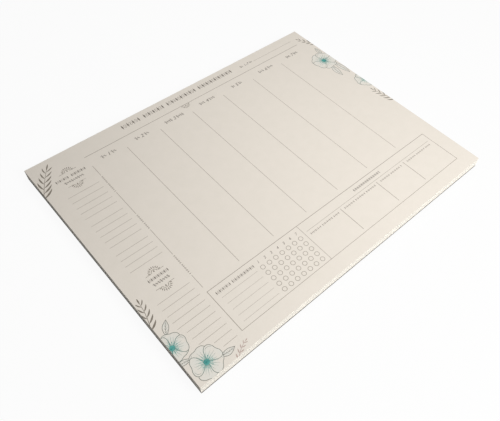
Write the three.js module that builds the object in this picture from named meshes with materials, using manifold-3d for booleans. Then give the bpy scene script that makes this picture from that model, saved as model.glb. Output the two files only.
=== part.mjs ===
// Weekly planner notepad: a landscape block of tear-off sheets on a stiff backing board, glued
// together along the header edge. Millimetres, +Z up, lying on its board as it would on a desk.
// +X runs along the header, from the page's left side to its right. +Y points at the header edge,
// which is the bound one. The origin is under the middle of the pad's box, at desk height.
import * as THREE from "three";
import { mergeVertices } from "three/addons/utils/BufferGeometryUtils.js";
import Module from "manifold-3d";

// Sheets: letter paper on its side, uncoated, about 120 g/m2
const SHEET_WIDTH = 279.4;
const SHEET_DEPTH = 215.9;
const SHEET_THICKNESS = 0.135;
const SHEET_COUNT = 60;

// Trim: the guillotine leaves a sheet short of the pad's side by a few steps of this size
const TRIM_STEP = 0.015;

// Backing board: greyboard, cut in the same stroke as the sheets
const BOARD_THICKNESS = 1.4;

// Binding: a film of padding glue, brushed on the header edge of the sheets and the board
const GLUE_THICKNESS = 0.35;
const GLUE_ROUNDING = 0.25;

// Colours
const PAPER_COLOUR = 0xf1eadf;
const BOARD_COLOUR = 0x9a938a;
const GLUE_COLOUR = 0xe9e5da;

// Where the pieces meet
const padThickness = BOARD_THICKNESS + SHEET_COUNT * SHEET_THICKNESS;
const padDepth = SHEET_DEPTH + GLUE_THICKNESS;
const leftSide = -SHEET_WIDTH / 2;
const rightSide = SHEET_WIDTH / 2;
const freeEdge = -padDepth / 2;
const boundEdge = freeEdge + SHEET_DEPTH;
const glueFace = boundEdge + GLUE_THICKNESS;

// Straight steps in a quarter turn of the glue's rounding
const ROUNDING_STEPS = 4;

// The trim repeats after this many sheets, and goes through its steps in strides, so that no two
// neighbours are alike
const TRIM_REPEAT = 7;
const TRIM_STRIDE = 3;

const wasm = await Module();
wasm.setup();

// How far a sheet's edges lie inside the pad's sides. The top sheet is number 0 and reaches them.
function trim(sheet) {
  return TRIM_STEP * ((sheet * TRIM_STRIDE) % TRIM_REPEAT);
}

// The height of a sheet's upper face, where the top sheet is number 0. The face below the last
// sheet, number SHEET_COUNT, is the board's.
function upperFace(sheet) {
  return BOARD_THICKNESS + (SHEET_COUNT - sheet) * SHEET_THICKNESS;
}

// A solid that can be cut, from a closed geometry.
function solidOf(geometry) {
  const bare = geometry.clone();
  bare.deleteAttribute("normal");
  bare.deleteAttribute("uv");
  const merged = mergeVertices(bare);
  const mesh = new wasm.Mesh({
    numProp: 3,
    vertProperties: merged.attributes.position.array,
    triVerts: new Uint32Array(merged.index.array),
  });
  return new wasm.Manifold(mesh);
}

// The geometry of a cut solid, with its own normals on each face.
function geometryOf(solid) {
  const mesh = solid.getMesh();
  const shared = new THREE.BufferGeometry();
  shared.setAttribute("position", new THREE.BufferAttribute(mesh.vertProperties, 3));
  shared.setIndex(new THREE.BufferAttribute(mesh.triVerts, 1));
  const faceted = shared.toNonIndexed();
  faceted.computeVertexNormals();
  return faceted;
}

// A section drawn in X and Z, run from the free edge to the bound one.
function runToBoundEdge(section) {
  const settings = { depth: boundEdge - freeEdge, bevelEnabled: false };
  const geometry = new THREE.ExtrudeGeometry(section, settings);
  const across = new THREE.Vector3(1, 0, 0);
  const up = new THREE.Vector3(0, 0, 1);
  const towardsFreeEdge = new THREE.Vector3(0, -1, 0);
  geometry.applyMatrix4(new THREE.Matrix4().makeBasis(across, up, towardsFreeEdge));
  return geometry.translate(0, boundEdge, 0);
}

// A section drawn in Y and Z, run from the left side to the right one.
function runAcross(section) {
  const settings = {
    depth: rightSide - leftSide,
    bevelEnabled: false,
    curveSegments: ROUNDING_STEPS,
  };
  const geometry = new THREE.ExtrudeGeometry(section, settings);
  const towardsHeader = new THREE.Vector3(0, 1, 0);
  const up = new THREE.Vector3(0, 0, 1);
  const across = new THREE.Vector3(1, 0, 0);
  geometry.applyMatrix4(new THREE.Matrix4().makeBasis(towardsHeader, up, across));
  return geometry.translate(leftSide, 0, 0);
}

// The block's outline from the free edge: down the stepped left side and up the stepped right one.
function outlineFromFreeEdge() {
  const left = [];
  const right = [];
  for (let sheet = 0; sheet < SHEET_COUNT; sheet += 1) {
    const leftEdge = leftSide + trim(sheet);
    const rightEdge = rightSide - trim(sheet);
    left.push(new THREE.Vector2(leftEdge, upperFace(sheet)));
    left.push(new THREE.Vector2(leftEdge, upperFace(sheet + 1)));
    right.unshift(new THREE.Vector2(rightEdge, upperFace(sheet)));
    right.unshift(new THREE.Vector2(rightEdge, upperFace(sheet + 1)));
  }
  return new THREE.Shape([...left, ...right]);
}

// The block's outline from the side: down the stepped free edge and up the flat bound one, where
// the sheets were knocked up level before the glue was brushed on.
function outlineFromSide() {
  const points = [];
  for (let sheet = 0; sheet < SHEET_COUNT; sheet += 1) {
    const sheetEdge = freeEdge + trim(sheet);
    points.push(new THREE.Vector2(sheetEdge, upperFace(sheet)));
    points.push(new THREE.Vector2(sheetEdge, upperFace(sheet + 1)));
  }
  points.push(new THREE.Vector2(boundEdge, BOARD_THICKNESS));
  points.push(new THREE.Vector2(boundEdge, padThickness));
  return new THREE.Shape(points);
}

// The sheets are one solid: what their two stepped outlines have in common.
function tearOffSheets() {
  const fromFreeEdge = solidOf(runToBoundEdge(outlineFromFreeEdge()));
  const fromSide = solidOf(runAcross(outlineFromSide()));
  return geometryOf(fromFreeEdge.intersect(fromSide));
}

// The board is flush with the pad on all four sides.
function backingBoard() {
  const section = new THREE.Shape();
  section.moveTo(freeEdge, 0);
  section.lineTo(boundEdge, 0);
  section.lineTo(boundEdge, BOARD_THICKNESS);
  section.lineTo(freeEdge, BOARD_THICKNESS);
  section.closePath();
  return runAcross(section);
}

// The glue film is flat against the bound edge and rounds off where the brush left it.
function glueBinding() {
  const rounding = Math.min(GLUE_ROUNDING, GLUE_THICKNESS);
  const section = new THREE.Shape();
  section.moveTo(boundEdge, 0);
  section.lineTo(glueFace - rounding, 0);
  section.absarc(glueFace - rounding, rounding, rounding, -Math.PI / 2, 0);
  section.lineTo(glueFace, padThickness - rounding);
  section.absarc(glueFace - rounding, padThickness - rounding, rounding, 0, Math.PI / 2);
  section.lineTo(boundEdge, padThickness);
  section.closePath();
  return runAcross(section);
}

function addPiece(name, geometry, colour, roughness) {
  const material = new THREE.MeshStandardMaterial({ color: colour, roughness, metalness: 0 });
  const mesh = new THREE.Mesh(geometry, material);
  mesh.name = name;
  notepad.add(mesh);
}

const notepad = new THREE.Group();
addPiece("tear_off_sheets", tearOffSheets(), PAPER_COLOUR, 0.9);
addPiece("backing_board", backingBoard(), BOARD_COLOUR, 0.95);
addPiece("glue_binding", glueBinding(), GLUE_COLOUR, 0.45);

export default notepad;
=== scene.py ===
# %% [markdown]
# # Dressing a weekly planner notepad
#
# The pad is a block of letter-size planner sheets on its side. They are glued along the header
# edge and backed with greyboard, and the pad lies flat on a desk. Its solids are already made at
# their real size. This lesson gives them their finishes, prints the top sheet, and lights them.
#
# Loading the frame comes first, because every place below is measured from it.

# %% Load the pad's solids
import math

import bpy
from mathutils import Matrix, Vector


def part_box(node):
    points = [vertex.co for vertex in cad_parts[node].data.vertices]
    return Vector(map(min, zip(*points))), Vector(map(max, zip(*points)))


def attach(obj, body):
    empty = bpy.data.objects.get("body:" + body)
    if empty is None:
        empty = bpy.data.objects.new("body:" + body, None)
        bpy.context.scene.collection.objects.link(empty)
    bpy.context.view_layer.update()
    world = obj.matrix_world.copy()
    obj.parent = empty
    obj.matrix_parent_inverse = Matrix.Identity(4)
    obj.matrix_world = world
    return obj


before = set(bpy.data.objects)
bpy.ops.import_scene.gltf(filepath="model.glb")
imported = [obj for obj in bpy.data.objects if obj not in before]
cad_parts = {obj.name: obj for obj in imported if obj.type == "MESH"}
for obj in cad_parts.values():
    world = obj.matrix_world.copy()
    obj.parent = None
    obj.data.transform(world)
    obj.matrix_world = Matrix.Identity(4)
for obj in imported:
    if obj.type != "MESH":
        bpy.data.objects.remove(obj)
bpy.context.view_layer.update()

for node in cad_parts:
    low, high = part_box(node)
    print(node, "measures", [round(1000 * side, 2) for side in high - low], "mm")

# %% [markdown]
# ## Where things are on the page
#
# A printer places everything from the page's left and header edges, in millimetres. The same is
# done here: `on_page(x, y)` takes such a place and gives the point in the pad's own frame. All
# the print is drawn at height 0 and lifted onto the top sheet when it is finished.

# %% Page coordinates
MM = 0.001
sheets_low, sheets_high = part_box("tear_off_sheets")
PAGE_WIDTH = (sheets_high.x - sheets_low.x) / MM
PAGE_DEPTH = (sheets_high.y - sheets_low.y) / MM
PAGE_HEIGHT = sheets_high.z


def on_page(x, y, height=0.0):
    """The point x mm from the page's left edge and y mm below its header edge."""
    return Vector((sheets_low.x + x * MM, sheets_high.y - y * MM, height))


page_middle = on_page(PAGE_WIDTH / 2, PAGE_DEPTH / 2, PAGE_HEIGHT)
print("page", round(PAGE_WIDTH, 1), "x", round(PAGE_DEPTH, 1), "mm")
print("its face is", round(PAGE_HEIGHT / MM, 2), "mm above the desk")

# %% [markdown]
# ## The camera
#
# The picture looks down on the pad over its lower left corner, as a person standing at a desk
# would. A camera could be placed by eye, but the page is a known rectangle, so its four corners
# fix where the lens stands, where it points and how long it is. The small shift is there because
# the picture was cropped off centre.

# %% Place the camera
CAMERA_FROM_PAGE_MIDDLE = Vector((-184.25, -201.32, 307.40)) * MM
AIM_FROM_PAGE_MIDDLE = Vector((-21.95, -41.93, 0)) * MM
CAMERA_ROLL = math.radians(4.25)
PICTURE_WIDTH = 500
FOCAL_LENGTH_IN_PIXELS = 526.97
CENTRE_OF_VIEW_OFF_CENTRE = Vector((24.74, 1.84))

bpy.ops.object.camera_add(location=page_middle + CAMERA_FROM_PAGE_MIDDLE)
camera = bpy.context.object
line_of_sight = AIM_FROM_PAGE_MIDDLE - CAMERA_FROM_PAGE_MIDDLE
level_view = line_of_sight.to_track_quat("-Z", "Y").to_matrix()
camera.rotation_euler = (level_view @ Matrix.Rotation(CAMERA_ROLL, 3, "Z")).to_euler()
camera.data.lens = camera.data.sensor_width * FOCAL_LENGTH_IN_PIXELS / PICTURE_WIDTH
camera.data.shift_x = -CENTRE_OF_VIEW_OFF_CENTRE.x / PICTURE_WIDTH
camera.data.shift_y = CENTRE_OF_VIEW_OFF_CENTRE.y / PICTURE_WIDTH
bpy.context.scene.camera = camera
print("lens", round(camera.data.lens, 2), "mm,", round(line_of_sight.length / MM), "mm from the page")

# %% [markdown]
# ## Shader maths that reads as sums
#
# A finish is a small sum: this much of one colour here, less there. Wiring each Math node by hand
# hides that sum, so `Signal` wraps a socket and lets Python's own signs add the nodes. Any other
# node comes from `Wiring.node`, which takes its settings first and then its sockets.


# %% Signals and wiring
class Signal:
    """A value that changes over a surface: an output socket that can be added and multiplied."""

    def __init__(self, wiring, socket):
        self.wiring = wiring
        self.socket = socket

    def __add__(self, other):
        return self.wiring.maths("ADD", self, other)

    def __sub__(self, other):
        return self.wiring.maths("SUBTRACT", self, other)

    def __rsub__(self, other):
        return self.wiring.maths("SUBTRACT", other, self)

    def __mul__(self, other):
        return self.wiring.maths("MULTIPLY", self, other)

    def __truediv__(self, other):
        return self.wiring.maths("DIVIDE", self, other)

    __radd__ = __add__


class Wiring:
    """The nodes of one material or of the world."""

    def __init__(self, tree):
        self.tree = tree

    def node(self, kind, settings=None, sockets=None, output=0):
        """Adds a node: its settings first, then a value or a link for each socket."""
        made = self.tree.nodes.new(kind)
        for name, value in (settings or {}).items():
            setattr(made, name, value)
        for name, value in (sockets or {}).items():
            self.feed(made.inputs[name], value)
        return Signal(self, made.outputs[output])

    def feed(self, socket, value):
        if isinstance(value, Signal):
            self.tree.links.new(value.socket, socket)
        else:
            socket.default_value = value

    def maths(self, operation, first, second=0.0):
        return self.node("ShaderNodeMath", {"operation": operation}, {0: first, 1: second})

    def between(self, value, low, high):
        """0 where the value is below low, 1 where it is above high."""
        return self.node("ShaderNodeMapRange", {}, {"Value": value, "From Min": low, "From Max": high})


print("signals add up")

# %% [markdown]
# ## A finish
#
# A finish is a Principled shader and what feeds it. Everything here reads Object coordinates:
# the pad's own metres. A pattern then stays where it is on the paper from any side, and its grain
# can be given in blotches to the metre.


# %% Finishes
FIRST_COLOUR, SECOND_COLOUR, MIXED_COLOUR = 6, 7, 2


class Finish(Wiring):
    """One material under construction."""

    def __init__(self, name, roughness, specular):
        self.material = bpy.data.materials.new(name)
        self.material.use_nodes = True
        super().__init__(self.material.node_tree)
        self.shader = self.tree.nodes["Principled BSDF"]
        self.surface(Roughness=roughness, Specular_IOR_Level=specular)

    def surface(self, **sockets):
        """Feeds the shader's own sockets, named with underscores for spaces."""
        for name, value in sockets.items():
            self.feed(self.shader.inputs[name.replace("_", " ")], value)

    def place(self):
        return self.node("ShaderNodeTexCoord", output="Object")

    def height(self):
        return self.node("ShaderNodeSeparateXYZ", {}, {0: self.place()}, output="Z")

    def noise(self, per_metre, detail=2.0, roughness=0.5, stretch=(1, 1, 1)):
        """Soft irregularity, given in blotches to the metre along each axis."""
        scale = [per_metre * share for share in stretch]
        spread = self.node("ShaderNodeMapping", {}, {"Vector": self.place(), "Scale": scale})
        sockets = {"Vector": spread, "Scale": 1.0, "Detail": detail, "Roughness": roughness}
        return self.node("ShaderNodeTexNoise", {}, sockets)

    def blend(self, share, first, second):
        """The first colour, turning into the second where share is 1."""
        sockets = {"Factor": share, FIRST_COLOUR: first, SECOND_COLOUR: second}
        return self.node("ShaderNodeMix", {"data_type": "RGBA"}, sockets, MIXED_COLOUR)

    def relief(self, height, depth_mm, strength):
        """Turns a height from 0 to 1 into bumps of that many millimetres."""
        sockets = {"Height": height, "Distance": depth_mm * MM, "Strength": strength}
        self.surface(Normal=self.node("ShaderNodeBump", {}, sockets))


def linear(red, green, blue):
    """A colour as a screen shows it, 0 to 255, as the light values that a shader needs."""
    def one(channel):
        share = channel / 255
        return share / 12.92 if share <= 0.04045 else ((share + 0.055) / 1.055) ** 2.4

    return one(red), one(green), one(blue), 1.0


print("a mid grey is", round(linear(128, 128, 128)[0], 3), "in light values")

# %% [markdown]
# ## The paper
#
# The sheets are uncoated, slightly warm, and quite matt. Seen close, uncoated paper is cloudy,
# because its fibres clump, and it has a fine tooth. The cut sides are whiter, as fresh cuts are,
# but a hairline of painted shade lies between each sheet and the next, where the sheets shade
# each other, and the blade leaves faint streaks. A side is many edges, so it shows less of the
# tooth. All of that is a function of height and place, so one finish serves the face and the
# sides. The sides begin just under the top face.

# %% Paper finish
PAPER = linear(237, 229, 218)
PAPER_CLOUD = linear(230, 223, 211)
PAPER_CUT = linear(237, 233, 225)
# Painted shade: the hairline of shade between one sheet and the next, in the cut's colour.
PAPER_GAP_SHADE = linear(178, 172, 164)
SHEET_THICKNESS = 0.135 * MM
BOARD_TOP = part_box("backing_board")[1].z
FACE_DEPTH = 0.01 * MM
SIDE_DEPTH = 0.02 * MM
CLOUD_SHARE, FIBRE_SHARE = 0.4, 0.2
GAP_SHADE_SHARE, STREAK_SHARE = 0.14, 0.06
TOOTH_LOST_AT_SIDES = 0.7


def paper_tooth(finish):
    """The fine tooth of uncoated paper."""
    return finish.noise(per_metre=2600, detail=3.0, roughness=0.65)


def cloudy_paper(finish):
    """The colour of a sheet's face."""
    clumps = finish.noise(per_metre=130, detail=4.0, roughness=0.6)
    clouds = finish.between(clumps, low=0.35, high=0.75)
    fibres = finish.between(paper_tooth(finish), low=0.4, high=0.7)
    return finish.blend(clouds * CLOUD_SHARE + fibres * FIBRE_SHARE, PAPER, PAPER_CLOUD)


def paper_finish():
    paper = Finish("uncoated_paper", roughness=0.85, specular=0.2)
    face = paper.between(paper.height(), PAGE_HEIGHT - SIDE_DEPTH, PAGE_HEIGHT - FACE_DEPTH)
    side = 1 - face
    sheets_up = (paper.height() - BOARD_TOP) / SHEET_THICKNESS
    # Painted shade between the sheets, darkest where one sheet meets the next.
    gap_shade = 1 - paper.between(paper.maths("FRACT", sheets_up), low=0.05, high=0.25)
    blade_marks = paper.noise(per_metre=45, detail=3.0, stretch=(1, 1, 160))
    streaks = paper.between(blade_marks, low=0.4, high=0.7)
    cut = paper.blend(gap_shade * GAP_SHADE_SHARE + streaks * STREAK_SHARE, PAPER_CUT, PAPER_GAP_SHADE)
    paper.surface(Base_Color=paper.blend(side, cloudy_paper(paper), cut))
    tooth = paper_tooth(paper)
    paper.surface(Roughness=0.8 + tooth * 0.1)
    paper.relief(tooth * (1 - side * TOOTH_LOST_AT_SIDES), depth_mm=0.02, strength=0.4)
    return paper.material


def dress(node, finish):
    """Gives one of the pad's solids its finish."""
    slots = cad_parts[node].data.materials
    slots.clear()
    slots.append(finish)
    print(finish.name, "on", node)


dress("tear_off_sheets", paper_finish())

# %% [markdown]
# ## The backing board and the glue
#
# Greyboard is pressed from recycled paper: a brownish grey with darker and paler flecks. Its grey
# is set darker than the board's own, partly as painted shade for the thin shadow line along the
# pad's foot. The glue is brushed over the bound edge and dries to a milky film, smoother than
# paper and a little thicker in some places than in others.

# %% Board and glue finishes
# Greyboard's own grey, darkened as painted shade for the shadow line at the pad's foot.
BOARD_GREY_AND_SHADE = linear(96, 91, 85)
BOARD_DARK_FLECK = linear(66, 62, 58)
BOARD_PALE_FLECK = linear(122, 116, 108)
GLUE = linear(234, 229, 217)
GLUE_THIN = linear(217, 209, 194)
DARK_FLECK_SHARE = 0.7


def greyboard_finish():
    board = Finish("greyboard", roughness=0.9, specular=0.2)
    clumps = board.noise(per_metre=420, detail=4.0, roughness=0.7)
    flecks = board.noise(per_metre=1500, stretch=(1, 0.45, 1))
    pulp = board.blend(board.between(clumps, low=0.3, high=0.75), BOARD_GREY_AND_SHADE, BOARD_PALE_FLECK)
    dark = board.between(flecks, low=0.62, high=0.72) * DARK_FLECK_SHARE
    board.surface(Base_Color=board.blend(dark, pulp, BOARD_DARK_FLECK))
    board.relief(clumps, depth_mm=0.06, strength=0.6)
    return board.material


def glue_finish():
    glue = Finish("padding_glue", roughness=0.4, specular=0.45)
    brushed = glue.noise(per_metre=90, detail=3.0, stretch=(1, 1, 6))
    thin = glue.between(brushed, low=0.4, high=0.7)
    glue.surface(Base_Color=glue.blend(thin, GLUE, GLUE_THIN))
    glue.surface(Roughness=0.34 + brushed * 0.2)
    glue.relief(brushed, depth_mm=0.1, strength=0.7)
    return glue.material


dress("backing_board", greyboard_finish())
dress("glue_binding", glue_finish())

# %% [markdown]
# ## Ink
#
# The page is printed in soft brown greys. Ink soaks into uncoated paper, so a printed line is
# never one flat tone: a noise mask lets a little of the paper through, more in some places than
# in others.

# %% Ink finishes


def print_in(ink, colour, coverage):
    """Gives a finish that colour, which hides at least that share of the paper."""
    soaked = ink.between(ink.noise(per_metre=1500), low=0.3, high=0.7)
    ink.surface(Base_Color=ink.blend(soaked * (1 - coverage), colour, PAPER))


def ink_finish(name, colour, coverage):
    """Ink of one colour."""
    ink = Finish(name, roughness=0.75, specular=0.2)
    print_in(ink, colour, coverage)
    return ink.material


RULE_INK = ink_finish("rule_ink", linear(168, 160, 149), coverage=0.92)
PALE_INK = ink_finish("pale_ink", linear(187, 179, 168), coverage=0.92)
MARK_INK = ink_finish("mark_ink", linear(136, 127, 117), coverage=0.9)
HEADING_INK = ink_finish("heading_ink", linear(109, 101, 93), coverage=0.9)
NUMBER_INK = ink_finish("number_ink", linear(106, 98, 90), coverage=0.9)
LEAF_INK = ink_finish("leaf_ink", linear(128, 119, 107), coverage=0.88)
BLUSH_INK = ink_finish("blush_ink", linear(188, 166, 157), coverage=0.88)
print("seven inks, from", RULE_INK.name, "to", BLUSH_INK.name)

# %% [markdown]
# ## A pen
#
# A printed line could be a picture on the sheet, but a picture blurs up close. Here each line is
# drawn as geometry, as a pen would: one curve object holds a spline for each stroke, its bevel
# gives the stroke its width, and a point's radius presses the pen harder or lighter. The curve
# becomes a mesh, is pressed flat, and is lifted until it stands about a hundredth of a
# millimetre out of the paper. Its doubled points are merged, so that each stroke is a closed
# shell.

# %% Draw and press
PRESSED_FLAT = 0.04
INK_LEVEL = 0.006
SAME_POINT = 1e-6
TRIM_INSET = 0.01 * MM
CURVE_STEPS = 5


def empty_curve(name):
    """A new curve object with nothing drawn in it. Returns its data."""
    bpy.ops.object.select_all(action="DESELECT")
    bpy.ops.curve.primitive_bezier_curve_add(location=(0, 0, 0))
    bpy.context.object.name = name
    bpy.context.object.data.splines.clear()
    return bpy.context.object.data


def add_spline(curve, places, closed):
    """Adds a spline through (x, y) places on the page. Two places make a straight one."""
    straight = len(places) == 2
    spline = curve.splines.new("BEZIER")
    spline.bezier_points.add(len(places) - 1)
    spline.use_cyclic_u = closed
    spline.resolution_u = 1 if straight else CURVE_STEPS
    for point, (x, y) in zip(spline.bezier_points, places):
        point.co = on_page(x, y)
        point.handle_left_type = "VECTOR" if straight else "AUTO"
        point.handle_right_type = "VECTOR" if straight else "AUTO"
    return spline.bezier_points


def draw(name, strokes, ink, level=INK_LEVEL, closed=False):
    """Draws strokes, each a list of (x, y, width) in mm on the page, as one flat printed piece."""
    pen = empty_curve(name)
    pen.bevel_depth = MM / 2
    pen.bevel_resolution = 1
    pen.use_fill_caps = True
    for stroke in strokes:
        points = add_spline(pen, [(x, y) for x, y, width in stroke], closed)
        for point, (x, y, width) in zip(points, stroke):
            point.radius = width
    bpy.ops.object.convert(target="MESH")
    press(bpy.context.object, ink, level)


def press(piece, ink, level):
    """Flattens a drawn piece, trims it to the sheet, lifts it onto the page and inks it."""
    bpy.ops.object.transform_apply(location=True, rotation=True, scale=True)
    trim_to_page(piece)
    piece.scale.z = PRESSED_FLAT
    piece.location.z = PAGE_HEIGHT + level * MM
    bpy.ops.object.transform_apply(location=True, rotation=True, scale=True)
    bpy.ops.object.mode_set(mode="EDIT")
    bpy.ops.mesh.select_all(action="SELECT")
    bpy.ops.mesh.remove_doubles(threshold=SAME_POINT)
    bpy.ops.mesh.normals_make_consistent(inside=False)
    bpy.ops.object.mode_set(mode="OBJECT")
    bpy.ops.object.shade_flat()
    piece.data.materials.clear()
    piece.data.materials.append(ink)
    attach(piece, "root")
    print(piece.name, "has", len(piece.data.polygons), "faces")


def trim_to_page(piece):
    """Cuts off what was drawn past the sheet's edges, as the guillotine does."""
    corners = [piece.matrix_world @ Vector(corner) for corner in piece.bound_box]
    cuts = (
        (Vector((sheets_low.x + TRIM_INSET, 0, 0)), Vector((-1, 0, 0))),
        (Vector((sheets_high.x - TRIM_INSET, 0, 0)), Vector((1, 0, 0))),
        (Vector((0, sheets_low.y + TRIM_INSET, 0)), Vector((0, -1, 0))),
        (Vector((0, sheets_high.y - TRIM_INSET, 0)), Vector((0, 1, 0))),
    )
    for edge, outwards in cuts:
        if max((corner - edge).dot(outwards) for corner in corners) > 0:
            bpy.ops.object.mode_set(mode="EDIT")
            bpy.ops.mesh.select_all(action="SELECT")
            plane = {"plane_co": edge, "plane_no": outwards, "threshold": SAME_POINT}
            bpy.ops.mesh.bisect(use_fill=True, clear_outer=True, **plane)
            bpy.ops.object.mode_set(mode="OBJECT")


def rule(x0, y0, x1, y1, width):
    """A straight ruled line."""
    return [(x0, y0, width), (x1, y1, width)]


def turned(strokes):
    """Strokes drawn along the header, turned to run down the page."""
    return [[(y, x, width) for x, y, width in stroke] for stroke in strokes]


print("pen ready")

# %% [markdown]
# ## The week grid
#
# Seven columns hang from a header rule, with a box below them for a tracker and four short
# notes. The header rule, three sides of the box and the rules between the notes are a little
# heavier than the rest. Where two rules meet, one ends at the other's side, because two surfaces
# at one height would show as specks. The first column rule is broken where small turned marks
# stand on it.

# %% Rules of the grid
LIGHT = 0.27
FINE = 0.36
HEAVY = 0.46
HEADER_RULE = (40.7, 16.5, 266.4, 16.5)
DATE_RULE = (218.5, 9.1, 265.4, 9.1)
NOTES_RULE = (123.7, 177.1, 262.4, 177.1)
COLUMNS = (41.1, 71.9, 103.2, 135.5, 168.2, 201.8, 236.1)
COLUMN_TOP = 27.8
COLUMN_FOOT = 164.7
TURNED_MARKS = ((41.5, 59.5), (88.5, 103.0), (133.0, 151.0))
MARK_MARGIN = 1.6
BOX_LEFT, BOX_RIGHT = 41.1, 265.4
BOX_TOP, BOX_FOOT = 169.1, 204.5
BOX_DIVIDER = 121.1
NOTE_DIVIDERS = (156.6, 196.4, 228.3)
NOTE_DIVIDER_TOP, NOTE_DIVIDER_FOOT = 178.7, 201.8

grid = [rule(*HEADER_RULE, HEAVY), rule(*DATE_RULE, LIGHT)]
grid += [rule(x, COLUMN_TOP, x, COLUMN_FOOT, FINE) for x in COLUMNS[1:]]
top = COLUMN_TOP
for first, last in TURNED_MARKS:
    grid.append(rule(COLUMNS[0], top, COLUMNS[0], first - MARK_MARGIN, FINE))
    top = last + MARK_MARGIN
grid.append(rule(COLUMNS[0], top, COLUMNS[0], COLUMN_FOOT, FINE))
outer_left = BOX_LEFT - HEAVY / 2
outer_right = BOX_RIGHT + HEAVY / 2
inner_top = BOX_TOP + HEAVY / 2
inner_foot = BOX_FOOT - FINE / 2
grid.append(rule(outer_left, BOX_TOP, outer_right, BOX_TOP, HEAVY))
grid.append(rule(outer_left, BOX_FOOT, outer_right, BOX_FOOT, FINE))
grid += [rule(x, inner_top, x, inner_foot, HEAVY) for x in (BOX_LEFT, BOX_RIGHT)]
grid.append(rule(BOX_DIVIDER, inner_top, BOX_DIVIDER, inner_foot, FINE))
grid.append(rule(*NOTES_RULE, LIGHT))
grid += [rule(x, NOTE_DIVIDER_TOP, x, NOTE_DIVIDER_FOOT, HEAVY) for x in NOTE_DIVIDERS]
draw("week_grid", grid, RULE_INK)

# %% [markdown]
# ## Writing lines
#
# The left column has three groups of writing lines under its first heading and one long group
# under its second. The last lines start further right, to leave room for the flowers.

# %% Writing lines
LINE_LEFT, LINE_RIGHT = 11.4, 36.9
WRITING_LINES = (
    *(44.3, 50.4, 56.6, 62.4, 68.4),
    *(76.4, 82.4, 88.3, 94.1, 100.1),
    *(108.1, 113.9, 119.4, 125.2),
    *(156.1, 161.6, 167.2, 172.6, 177.9, 183.3, 188.8, 194.2, 199.5, 204.9),
)
FLOWER_ROOM = {183.3: 14.5, 188.8: 14.5, 194.2: 15.5, 199.5: 23.0, 204.9: 26.0}
TRACKER_LEFT, TRACKER_RIGHT = 45.9, 76.2
TRACKER_ROWS = (178.7, 184.3, 189.6, 195.2, 200.4)

lines = []
for y in WRITING_LINES:
    lines.append(rule(FLOWER_ROOM.get(y, LINE_LEFT), y, LINE_RIGHT, y, FINE))
for y in TRACKER_ROWS:
    lines.append(rule(TRACKER_LEFT, y, TRACKER_RIGHT, y, LIGHT))
draw("writing_lines", lines, PALE_INK)

# %% [markdown]
# ## The tracker's rings
#
# Five rows of seven small rings, one for each day. One ring is a torus. Two Array modifiers
# repeat it across and down, which keeps the spacing exact, and they are applied before the
# rings are pressed flat.

# %% Rings
RING_RADIUS = 1.63
RING_LINE = 0.42
RING_LEFT = 81.0
DAY_PITCH = 5.88
ROW_PITCH = (TRACKER_ROWS[-1] - TRACKER_ROWS[0]) / (len(TRACKER_ROWS) - 1)
DAYS = 7


def repeat(piece, count, step):
    """Copies a piece along a step, given in metres."""
    array = piece.modifiers.new("repeat", "ARRAY")
    array.count = count
    array.use_relative_offset = False
    array.use_constant_offset = True
    array.constant_offset_displace = step
    bpy.ops.object.modifier_apply(modifier=array.name)


bpy.ops.object.select_all(action="DESELECT")
bpy.ops.mesh.primitive_torus_add(
    location=on_page(RING_LEFT, TRACKER_ROWS[0]),
    major_radius=RING_RADIUS * MM,
    minor_radius=RING_LINE / 2 * MM,
    major_segments=28,
    minor_segments=6,
)
rings = bpy.context.object
rings.name = "tracker_rings"
repeat(rings, DAYS, (DAY_PITCH * MM, 0, 0))
repeat(rings, len(TRACKER_ROWS), (0, -ROW_PITCH * MM, 0))
press(rings, RULE_INK, INK_LEVEL)

# %% [markdown]
# ## Borders for the headings
#
# Where a planner has its headings, this one has small printed borders. Each is a chain: upright
# lozenges with a lens of two thin arcs between each pair and a dot in the lens. A stroke whose
# pen is pressed hard in the middle and lifted at both ends makes a lozenge. Apart from the width
# of the lifted pen, all measures are shares of the border's height. Each row of the table has
# the places of a border's groups, its middle line and its height.

# %% Heading borders
PEN_UP = 0.05
LINK = 0.82
LOZENGE = 0.23
LENS = 0.3
LENS_LINE = 0.06
LENS_SPAN = (0.16, 0.5, 0.84)
DOT = 0.18
BORDERS = (
    (((80.6, 96.1), (101.6, 119.7), (124.7, 152.7), (157.7, 192.8)), 7.0, 5.6),
    (((12.3, 21.5), (24.8, 35.6)), 25.7, 3.5),
    (((45.1, 56.1), (58.6, 76.4)), 174.0, 3.0),
    (((16.8, 31.7),), 138.6, 3.2),
    (((177.2, 205.9),), 173.3, 2.8),
)


def lozenge(x, y, height, width):
    """An upright lozenge."""
    return [(x, y - height / 2, PEN_UP), (x, y, width), (x, y + height / 2, PEN_UP)]


def border(left, right, y, height):
    """A chain of lozenges from left to right, with a lens and a dot between each pair."""
    links = round((right - left) / (LINK * height))
    pitch = (right - left) / links
    strokes = []
    for link in range(links + 1):
        strokes.append(lozenge(left + link * pitch, y, height, LOZENGE * height))
    for link in range(links):
        start, middle, end = (left + (link + share) * pitch for share in LENS_SPAN)
        strokes.append(lozenge(middle, y, DOT * height, DOT * height))
        for side in (-LENS, LENS):
            bulge = (middle, y + side * height, LENS_LINE * height)
            strokes.append([(start, y, 2 * PEN_UP), bulge, (end, y, 2 * PEN_UP)])
    return strokes


headings = []
for groups, y, height in BORDERS:
    for left, right in groups:
        headings += border(left, right, y, height)
draw("heading_borders", headings, HEADING_INK)

# %% [markdown]
# ## Small marks
#
# The four notes and the turned places on the first column rule have rows of small lozenges,
# alternately tall and short, with a gap after every nine. Their widths and spacing are shares of
# the row's height.

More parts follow.
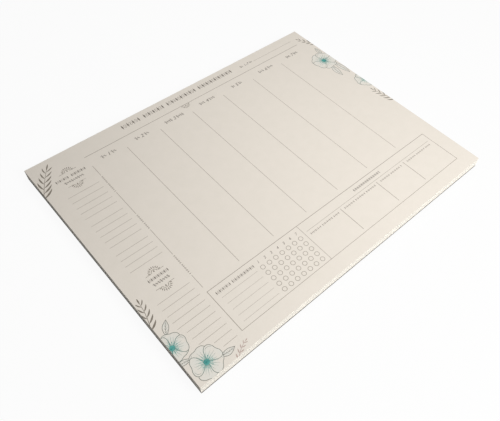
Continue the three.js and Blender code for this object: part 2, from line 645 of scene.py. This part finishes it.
# %% Small marks
MARKS_TO_A_GAP = 9
MARK_PAIR = 1.1
MARK_WIDTH = 0.34
SHORT_MARK = 0.5
NOTE_MARKS = ((125.0, 153.0), (160.0, 193.2), (200.2, 224.2), (232.2, 260.3))
NOTE_MARKS_Y = 180.4
NOTE_MARK_HEIGHT = 2.1
TURNED_MARK_HEIGHT = 1.7


def small_marks(left, right, y, height):
    """A row of lozenges, alternately tall and short, with gaps."""
    count = 2 * round((right - left) / (MARK_PAIR * height))
    pitch = (right - left) / count
    strokes = []
    for mark in range(count + 1):
        if mark % (MARKS_TO_A_GAP + 1) == MARKS_TO_A_GAP:
            continue
        tall = height if mark % 2 == 0 else SHORT_MARK * height
        strokes.append(lozenge(left + mark * pitch, y, tall, MARK_WIDTH * height))
    return strokes


notes = []
for left, right in NOTE_MARKS:
    notes += small_marks(left, right, NOTE_MARKS_Y, NOTE_MARK_HEIGHT)
for first, last in TURNED_MARKS:
    notes += turned(small_marks(first, last, COLUMNS[0], TURNED_MARK_HEIGHT))
draw("small_marks", notes, MARK_INK)

# %% [markdown]
# ## Flourishes and day numbers
#
# The days are plain numbers from 1 to 7, each between two short flourishes. A flourish is a
# leaning wave drawn with a broad pen: thin where it climbs and broad where it comes down.

# %% Flourishes
DAY_LABELS = (
    (50.7, 63.8),
    (81.3, 94.1),
    (110.1, 128.2),
    (145.2, 160.9),
    (180.3, 191.3),
    (211.5, 228.0),
    (245.5, 259.0),
)
DAY_LABEL_Y = 24.4
DAY_FLOURISH_HEIGHT = 3.1
DATE_Y = 8.4
OTHER_FLOURISHES = (
    (203.2, 206.4, DATE_Y, 2.4),
    (214.0, 217.2, DATE_Y, 2.4),
    (16.5, 32.0, 30.5, 2.3),
    (17.5, 30.0, 143.0, 2.3),
)
NUMBER_ROOM = 2.3
LEAN = 0.25
PEN_WAVE = ((0, 0.2), (-1, 0.26), (0, 0.58), (1, 0.26))
SWELL = (1.0, 0.55, 0.75)
WAVE = 1.7


def flourish(left, right, y, height):
    """A pen wave that fills the space from left to right. Its first crest is the tallest."""
    waves = max(1, round((right - left) / WAVE))
    quarter = (right - left) / (4 * waves)
    wave = []
    for step in range(4 * waves + 1):
        below, width = PEN_WAVE[step % 4]
        rise = below * SWELL[step // 4 % len(SWELL)] * height / 2
        wave.append((left + step * quarter - LEAN * rise, y + rise, width))
    return wave


flourishes = []
for left, right in DAY_LABELS:
    middle = (left + right) / 2
    for start, end in ((left, middle - NUMBER_ROOM), (middle + NUMBER_ROOM, right)):
        flourishes.append(flourish(start, end, DAY_LABEL_Y, DAY_FLOURISH_HEIGHT))
for start, end, y, height in OTHER_FLOURISHES:
    flourishes.append(flourish(start, end, y, height))
draw("flourishes", flourishes, NUMBER_INK)

# %% [markdown]
# ## Numbers
#
# Numbers are text objects in Blender's own plain font, leaned a little. Text is a curve, so it is
# made a mesh before it takes its place, and all of one kind are joined into one piece.

# %% Numbers
NUMBER_DEPTH = 0.1
CAPITAL_SHARE = 0.73
DATE_MIDDLE = 210.2
TRACKER_NUMBER_Y = 173.6


def numbers(name, labels, height):
    """Prints labels, each a (text, x, y), as one piece with figures of that height in mm."""
    bpy.ops.object.select_all(action="DESELECT")
    figures = []
    for text, x, y in labels:
        bpy.ops.object.text_add(location=(0, 0, 0))
        figure = bpy.context.object
        figure.data.body = text
        figure.data.size = height / CAPITAL_SHARE * MM
        figure.data.shear = LEAN
        figure.data.extrude = NUMBER_DEPTH * MM
        figure.data.resolution_u = 4
        figure.data.align_x = "CENTER"
        bpy.ops.object.convert(target="MESH")
        figure = bpy.context.object
        figure.location = on_page(x, y + height / 2)
        bpy.ops.object.transform_apply(location=True, rotation=True, scale=True)
        figures.append(figure)
    for figure in figures:
        figure.select_set(True)
    bpy.ops.object.join()
    joined = bpy.context.object
    joined.name = name
    press(joined, NUMBER_INK, INK_LEVEL)


day_labels = []
tracker_labels = []
for day in range(DAYS):
    day_labels.append((str(day + 1), sum(DAY_LABELS[day]) / 2, DAY_LABEL_Y))
    tracker_labels.append((str(day + 1), RING_LEFT + day * DAY_PITCH, TRACKER_NUMBER_Y))
numbers("day_numbers", day_labels, height=3.7)
numbers("week_numbers", [("1-7", DATE_MIDDLE, DATE_Y)], height=2.9)
numbers("tracker_numbers", tracker_labels, height=2.3)

# %% [markdown]
# ## Half suns
#
# A small half sun hangs under the header rule, and each heading of the left column has one above
# and one below. It is rays round an arc, with a bud inside, and the ones at the headings have a
# short line at either side. The rays are leaf-shaped strokes, which the sprigs use again below.

# %% Half suns
LEAF_PEN = ((0.0, 0.12), (0.25, 0.75), (0.5, 1.0), (0.78, 0.7), (1.0, 0.08))
RAYS = 9
RAY_TURN = 20
RAY_START, RAY_LENGTH, RAY_WIDTH = 0.58, 0.42, 0.135
ARC_STEPS = 6
ARC_TURN = 30
ARC_RADIUS, ARC_LINE = 0.44, 0.07
BUD_LENGTH, BUD_WIDTH = 0.34, 0.2
HEADER_SUN = (135.5, 16.8, 4.4, -1)
HEADING_SUN_X = 24.0
HEADING_SUN_SIZE = 4.9
HEADING_SUNS = ((20.8, 1), (35.0, -1), (134.8, 1), (147.0, -1))
SIDE_LINES = ((16.9, 21.5), (26.5, 31.1))


def towards(x, y, angle, distance):
    """The point that far from (x, y). 0 degrees points right and 90 to the header."""
    turn = math.radians(angle)
    return x + distance * math.cos(turn), y - distance * math.sin(turn)


def leaf(x, y, angle, length, width, bend=0.0):
    """A pointed stroke, thickest in its middle, that bends by that many degrees."""
    strokes = []
    for share, weight in LEAF_PEN:
        px, py = towards(x, y, angle + bend * share, share * length)
        strokes.append((px, py, weight * width))
    return strokes


def half_sun(x, y, size, side):
    """A half sun of that radius. side is 1 if it rises to the header and -1 if it hangs."""
    strokes = []
    for ray in range(RAYS):
        angle = side * RAY_TURN * (ray + 0.5)
        start = towards(x, y, angle, RAY_START * size)
        strokes.append(leaf(*start, angle, RAY_LENGTH * size, RAY_WIDTH * size))
    arc = []
    for step in range(ARC_STEPS + 1):
        px, py = towards(x, y, side * ARC_TURN * step, ARC_RADIUS * size)
        arc.append((px, py, ARC_LINE * size))
    strokes.append(arc)
    strokes.append(leaf(x, y, side * 90, BUD_LENGTH * size, BUD_WIDTH * size))
    return strokes


suns = half_sun(*HEADER_SUN)
for y, side in HEADING_SUNS:
    suns += half_sun(HEADING_SUN_X, y, HEADING_SUN_SIZE, side)
    suns += [rule(start, y, end, y, LIGHT) for start, end in SIDE_LINES]
draw("half_suns", suns, LEAF_INK)

# %% [markdown]
# ## Sprigs
#
# Sprigs of leaves grow in from the page's left and right edges, and a small blush one from its
# foot. A stem is one bent stroke, and leaves sit on it in pairs that grow smaller towards its
# tip. Where a sprig runs off the sheet, it is drawn past the edge and cut there.

# %% Sprigs
STEM_STEPS = 5
STEM_WIDTH, STEM_TAPER = 0.5, 0.05
FIRST_PAIR = 0.6
SHRINK = 0.45
STAGGER = 0.02
LEAF_SPREAD, LEAF_BEND = 50, 16
TIP_LENGTH, TIP_WIDTH = 0.6, 0.7
SPRIGS = (
    ((-3.0, 37.0), (3.0, 23.0), (12.5, 10.0), 6, 11.0, 1.65),
    ((-2.5, 171.0), (2.5, 160.0), (3.5, 148.5), 5, 8.2, 1.5),
    ((283.0, 28.0), (277.5, 21.0), (273.0, 12.5), 4, 6.2, 1.2),
    ((282.0, 128.0), (277.5, 119.0), (275.5, 107.0), 5, 7.6, 1.25),
)
BLUSH_SPRIG = ((27.0, 218.5), (31.5, 213.0), (38.0, 211.0), 4, 4.2, 0.95)


def along(start, bend, tip, share):
    """A point of the bent stem, and the angle in which the stem grows there."""
    rest = 1 - share
    x = rest * rest * start[0] + 2 * rest * share * bend[0] + share * share * tip[0]
    y = rest * rest * start[1] + 2 * rest * share * bend[1] + share * share * tip[1]
    dx = rest * (bend[0] - start[0]) + share * (tip[0] - bend[0])
    dy = rest * (bend[1] - start[1]) + share * (tip[1] - bend[1])
    return x, y, math.degrees(math.atan2(-dy, dx))


def sprig(start, bend, tip, pairs, length, width):
    """A stem with pairs of leaves, and one leaf at its tip."""
    stem = []
    for step in range(STEM_STEPS + 1):
        x, y, _ = along(start, bend, tip, step / STEM_STEPS)
        stem.append((x, y, STEM_WIDTH - STEM_TAPER * step))
    strokes = [stem]
    for pair in range(pairs):
        share = (pair + FIRST_PAIR) / pairs
        size = 1 - SHRINK * share
        for side in (-1, 1):
            x, y, growing = along(start, bend, tip, share - STAGGER * side)
            angle = growing + side * LEAF_SPREAD
            strokes.append(leaf(x, y, angle, length * size, width * size, -side * LEAF_BEND))
    x, y, growing = along(start, bend, tip, 1.0)
    strokes.append(leaf(x, y, growing, TIP_LENGTH * length, TIP_WIDTH * width))
    return strokes


sprigs = []
for shape in SPRIGS:
    sprigs += sprig(*shape)
draw("leaf_sprigs", sprigs, LEAF_INK)
draw("blush_sprig", sprig(*BLUSH_SPRIG), BLUSH_INK)

# %% [markdown]
# ## Petals and leaves
#
# Five-petal blossoms and outlined leaves fill the corners. A petal or a leaf is drawn in its own
# measures: `at` takes shares of its length and its width, and follows its lean. So one short list
# of shares serves every petal, and the same outline gives both the drawn line and the field of
# pale wash under it.

# %% Petals and leaves
HALF_PETAL = ((0.12, 0.05), (0.3, 0.27), (0.55, 0.47), (0.8, 0.48), (0.95, 0.26))
PETAL_END = 0.93
HALF_LEAF = ((0.05, 0.09), (0.26, 0.38), (0.52, 0.48), (0.8, 0.28), (0.96, 0.05))
LEAF_END = 1.0
OUTLINE = 0.36
TURNED_RIM = ((0.5, 0.37, 0.08), (0.72, 0.39, 0.24), (0.89, 0.22, 0.08))
VEINS = ((-0.3, 0.52), (-0.15, 0.68), (0.0, 0.76), (0.15, 0.66), (0.3, 0.5))
VEIN_START = 0.15
VEIN_BEND = (0.5, 0.6)
VEIN_PEN = (0.26, 0.2, 0.08)
MIDRIB = ((0.0, 0.0, 0.36), (0.5, 0.0, 0.28), (0.95, 0.0, 0.1))
SIDE_VEINS = (0.16, 0.34, 0.52, 0.68)
SIDE_VEIN_RISE = 0.17
SIDE_VEIN_REACH = 0.36
SIDE_VEINS_CLOSE_AT = 1.1
SIDE_VEIN_PEN = (0.18, 0.08)


class Blade:
    """A petal or a leaf that grows from (x, y) at an angle."""

    def __init__(self, x, y, angle, length, width, lean=0.0):
        self.base = (x, y)
        self.angle = angle
        self.length = length
        self.width = width
        self.lean = lean

    def at(self, along, across):
        """A point of it: along runs from 0 to 1, and across from -0.5 to 0.5."""
        turn = self.angle + self.lean * along
        spine = towards(*self.base, turn, along * self.length)
        return towards(*spine, turn + 90, across * self.width)

    def outline(self, half, end):
        """From its base round its end and back."""
        one_side = [self.at(along, across) for along, across in half]
        other_side = [self.at(along, -across) for along, across in reversed(half)]
        return [*one_side, self.at(end, 0.0), *other_side]

    def stroke(self, points):
        return [(*self.at(along, across), width) for along, across, width in points]


def petal_strokes(petal):
    """The veins of a petal, and one rim that turns up."""
    strokes = [petal.stroke(TURNED_RIM)]
    for across, reach in VEINS:
        start = (VEIN_START, VEIN_START * across, VEIN_PEN[0])
        bend = (VEIN_BEND[0] * reach, VEIN_BEND[1] * across, VEIN_PEN[1])
        strokes.append(petal.stroke([start, bend, (reach, across, VEIN_PEN[2])]))
    return strokes


def leaf_strokes(blade):
    """The midrib of a leaf, and veins in pairs."""
    strokes = [blade.stroke(MIDRIB)]
    for along in SIDE_VEINS:
        for side in (-1, 1):
            reach = side * SIDE_VEIN_REACH * (SIDE_VEINS_CLOSE_AT - along)
            start = (along, 0.0, SIDE_VEIN_PEN[0])
            strokes.append(blade.stroke([start, (along + SIDE_VEIN_RISE, reach, SIDE_VEIN_PEN[1])]))
    return strokes


print("a petal has", len(Blade(0, 0, 0, 1, 1).outline(HALF_PETAL, PETAL_END)), "points")

# %% [markdown]
# ## Coloured by nearness
#
# The flowers are drawn in grey, but close to each blossom's centre the lines and the wash turn
# teal, as if a wet brush had touched the middle. So their finishes measure how near a point is
# to the nearest centre. A blossom is given by its centre, its radius and its first petal's angle.

# %% Blossom finishes
BLOSSOMS = (
    (12.4, 206.0, 11.0, 97.0),
    (2.0, 185.6, 10.2, 62.0),
    (270.0, 49.5, 11.6, 130.0),
    (281.2, 91.5, 10.0, 160.0),
)
BLOSSOM_LINE = linear(126, 127, 119)
BLOSSOM_LINE_TEAL = linear(84, 138, 130)
WASH_TEAL = linear(172, 212, 202)
WASH_BLUE = linear(226, 229, 222)
CENTRE_TEAL = linear(100, 178, 169)
CENTRE_DEEP = linear(66, 138, 134)
LINE_REACH = 13.0
WASH_REACH = 8.0
BLUE_SHARE, BLUE_IN_POOLS = 0.1, 0.5
TEAL_SHARE, TEAL_IN_POOLS = 0.6, 0.4


def nearness(finish, reach):
    """1 at a blossom's centre, falling to 0 at that many mm from all of them."""
    nearest = None
    for x, y, radius, first in BLOSSOMS:
        sockets = {0: finish.place(), 1: on_page(x, y, PAGE_HEIGHT)}
        away = finish.node("ShaderNodeVectorMath", {"operation": "DISTANCE"}, sockets, output="Value")
        nearest = away if nearest is None else finish.maths("MINIMUM", nearest, away)
    return 1 - finish.between(nearest, 0, reach * MM)


def blossom_line_finish():
    line = Finish("blossom_line", roughness=0.75, specular=0.2)
    teal = line.between(nearness(line, LINE_REACH), low=0.15, high=0.8)
    print_in(line, line.blend(teal, BLOSSOM_LINE, BLOSSOM_LINE_TEAL), coverage=0.88)
    return line.material


def petal_wash_finish():
    wash = Finish("petal_wash", roughness=0.85, specular=0.2)
    pools = wash.between(wash.noise(per_metre=220, detail=3.0), low=0.3, high=0.7)
    bluish = wash.blend(BLUE_SHARE + pools * BLUE_IN_POOLS, cloudy_paper(wash), WASH_BLUE)
    near = nearness(wash, WASH_REACH)
    teal = near * near * (TEAL_SHARE + pools * TEAL_IN_POOLS)
    wash.surface(Base_Color=wash.blend(teal, bluish, WASH_TEAL))
    return wash.material


def blossom_centre_finish():
    centre = Finish("blossom_centre", roughness=0.75, specular=0.2)
    grains = centre.between(centre.noise(per_metre=900, detail=3.0), low=0.35, high=0.65)
    centre.surface(Base_Color=centre.blend(grains, CENTRE_TEAL, CENTRE_DEEP))
    return centre.material


LINE_FINISH = blossom_line_finish()
WASH_FINISH = petal_wash_finish()
CENTRE_FINISH = blossom_centre_finish()
print("teal turns to grey about a centimetre from a centre")

# %% [markdown]
# ## Fields of wash
#
# A field is a flat curve that Blender fills. `fill` draws closed outlines and gives the field a
# very small thickness, which makes it a closed shell.

# %% Fill closed outlines
FIELD_DEPTH = 0.05


def fill(name, outlines, finish, level):
    """Fills closed outlines, each a list of (x, y) in mm, as one printed piece."""
    field = empty_curve(name)
    field.dimensions = "2D"
    field.fill_mode = "BOTH"
    field.extrude = FIELD_DEPTH * MM
    for outline in outlines:
        add_spline(field, outline, closed=True)
    bpy.ops.object.convert(target="MESH")
    press(bpy.context.object, finish, level)


print("fields ready")

# %% [markdown]
# ## Blossoms in layers
#
# Petals overlap, and a petal in front hides the lines behind it. So the flowers are printed in
# four layers: leaves first, then petals in three rounds, chosen so that two neighbours are never
# in the same round. Each layer is a field of wash with its lines, and lies just over the last.

# %% Draw the blossoms
LEAVES, BACK, MIDDLE, FRONT = range(4)
LAYER_NAMES = ("leaves", "back_petals", "middle_petals", "front_petals")
WASH_LEVEL = 0.003
LINE_LEVEL = 0.010
LAYER_STEP = 0.016
CENTRE_LEVEL = 0.062
STAMEN_LEVEL = 0.070
FULL_TURN = 360
PETAL_LAYERS = (BACK, MIDDLE, BACK, MIDDLE, FRONT)
PETAL_LENGTHS = (1.0, 0.93, 1.02, 0.96, 0.98)
PETAL_LEANS = (4.0, -5.0, 3.0, 6.0, -4.0)
PETAL_WIDTH = 1.12
CENTRE_RADIUS = 0.17
CENTRE_TURN = 45
STAMENS = 14
STAMEN_REACHES = (0.4, 0.34)
STAMEN_PEN = ((0.4, 0.12), (0.8, 0.12), (0.86, 0.42), (0.96, 0.42), (1.0, 0.1))
OUTLINED_LEAVES = (
    Blade(4.2, 176.4, 66.0, 10.2, 4.2, -8.0),
    Blade(21.2, 208.6, -18.0, 10.0, 4.2, 14.0),
    Blade(6.0, 198.6, 158.0, 9.0, 3.6, 12.0),
    Blade(275.0, 41.2, 74.0, 10.0, 3.8, 10.0),
    Blade(270.6, 59.2, -108.0, 15.5, 5.2, 12.0),
    Blade(275.2, 57.4, -80.0, 18.5, 5.2, -4.0),
)

washes = [[] for layer in LAYER_NAMES]
line_work = [[] for layer in LAYER_NAMES]
centres = []
stamens = []
for blade in OUTLINED_LEAVES:
    washes[LEAVES].append(blade.outline(HALF_LEAF, LEAF_END))
    line_work[LEAVES] += leaf_strokes(blade)
for x, y, radius, first in BLOSSOMS:
    for number, layer in enumerate(PETAL_LAYERS):
        angle = first + FULL_TURN * number / len(PETAL_LAYERS)
        length = PETAL_LENGTHS[number] * radius
        petal = Blade(x, y, angle, length, PETAL_WIDTH * radius, PETAL_LEANS[number])
        washes[layer].append(petal.outline(HALF_PETAL, PETAL_END))
        line_work[layer] += petal_strokes(petal)
    corners = range(0, FULL_TURN, CENTRE_TURN)
    centres.append([towards(x, y, angle, CENTRE_RADIUS * radius) for angle in corners])
    for number in range(STAMENS):
        angle = first + FULL_TURN * number / STAMENS
        reach = STAMEN_REACHES[number % 2] * radius
        stamens.append([(*towards(x, y, angle, share * reach), width) for share, width in STAMEN_PEN])
for layer, name in enumerate(LAYER_NAMES):
    closed = [[(x, y, OUTLINE) for x, y in outline] for outline in washes[layer]]
    rise = layer * LAYER_STEP
    fill(name + "_wash", washes[layer], WASH_FINISH, WASH_LEVEL + rise)
    draw(name + "_outlines", closed, LINE_FINISH, LINE_LEVEL + rise, closed=True)
    draw(name + "_veins", line_work[layer], LINE_FINISH, LINE_LEVEL + rise)
fill("blossom_centres", centres, CENTRE_FINISH, CENTRE_LEVEL)
draw("stamens", stamens, CENTRE_FINISH, STAMEN_LEVEL)

# %% [markdown]
# ## A plain floor and soft light
#
# The pad lies on a white sweep. The floor's own colour is pale, and part of what the camera sees
# of it is plain white, so that the ground is as white as in the picture while the pad keeps a
# faint shadow. The key lamp is low and soft, at the front: it lights the page more at its free
# edge than at its header, and leaves the left side in shade. A weaker lamp above fills in.

# %% Floor and world
FLOOR = linear(224, 224, 222)
WHITE = (1.0, 1.0, 1.0, 1.0)
SEEN_AS_WHITE = 0.94
AMBIENT = 0.114
FLOOR_SIZE = 16.0
FLOOR_GAP = 0.02 * MM
SPECKLE_SHARE = 0.1


def seen_directly(wiring):
    """1 for what is seen by the camera, in gloss or through glass, and 0 for other light."""
    def ray(name):
        return wiring.node("ShaderNodeLightPath", output=name)

    return ray("Is Camera Ray") + ray("Is Glossy Ray") + ray("Is Transmission Ray")


def floor_finish():
    finish = Finish("pale_floor", roughness=0.9, specular=0.0)
    speckle = finish.between(finish.noise(per_metre=60, detail=3.0), low=0.3, high=0.7)
    finish.surface(Base_Color=finish.blend(speckle * SPECKLE_SHARE, FLOOR, WHITE))
    white = finish.node("ShaderNodeEmission", {}, {"Color": WHITE, "Strength": 1.0})
    plain = Signal(finish, finish.shader.outputs[0])
    share = seen_directly(finish) * SEEN_AS_WHITE
    mixed = finish.node("ShaderNodeMixShader", {}, {0: share, 1: plain, 2: white})
    finish.feed(finish.tree.nodes["Material Output"].inputs["Surface"], mixed)
    return finish.material


bpy.ops.mesh.primitive_plane_add(size=FLOOR_SIZE, location=(0, 0, -FLOOR_GAP))
floor = bpy.context.object
floor.name = "floor"
floor.data.materials.append(floor_finish())

world = bpy.data.worlds.new("studio")
world.use_nodes = True
bpy.context.scene.world = world
sky = Wiring(world.node_tree)
directly = sky.maths("MINIMUM", seen_directly(sky), 1.0)
background = world.node_tree.nodes["Background"].inputs
sky.feed(background["Color"], WHITE)
sky.feed(background["Strength"], AMBIENT + directly * (1 - AMBIENT))
print("floor and sky ready")

# %% [markdown]
# ## Lamps
#
# Both lamps are round and wide, so shadows are soft. They are placed from the middle of the page.

# %% Lamps


def lamp(name, from_page_middle, size, power):
    """A round soft lamp aimed at the middle of the page."""
    bpy.ops.object.light_add(type="AREA", location=page_middle + from_page_middle)
    light = bpy.context.object
    light.name = name
    light.rotation_euler = (-from_page_middle).to_track_quat("-Z", "Y").to_euler()
    light.data.shape = "DISK"
    light.data.size = size
    light.data.energy = power
    light.visible_camera = False
    print(name, "is", round(from_page_middle.length, 2), "m from the page")


lamp("key_lamp", Vector((0.12, -0.636, 0.496)), size=0.4, power=5.65)
lamp("fill_lamp", Vector((0.115, 0.052, 0.40)), size=0.3, power=0.64)
bpy.context.scene.view_settings.view_transform = "Standard"
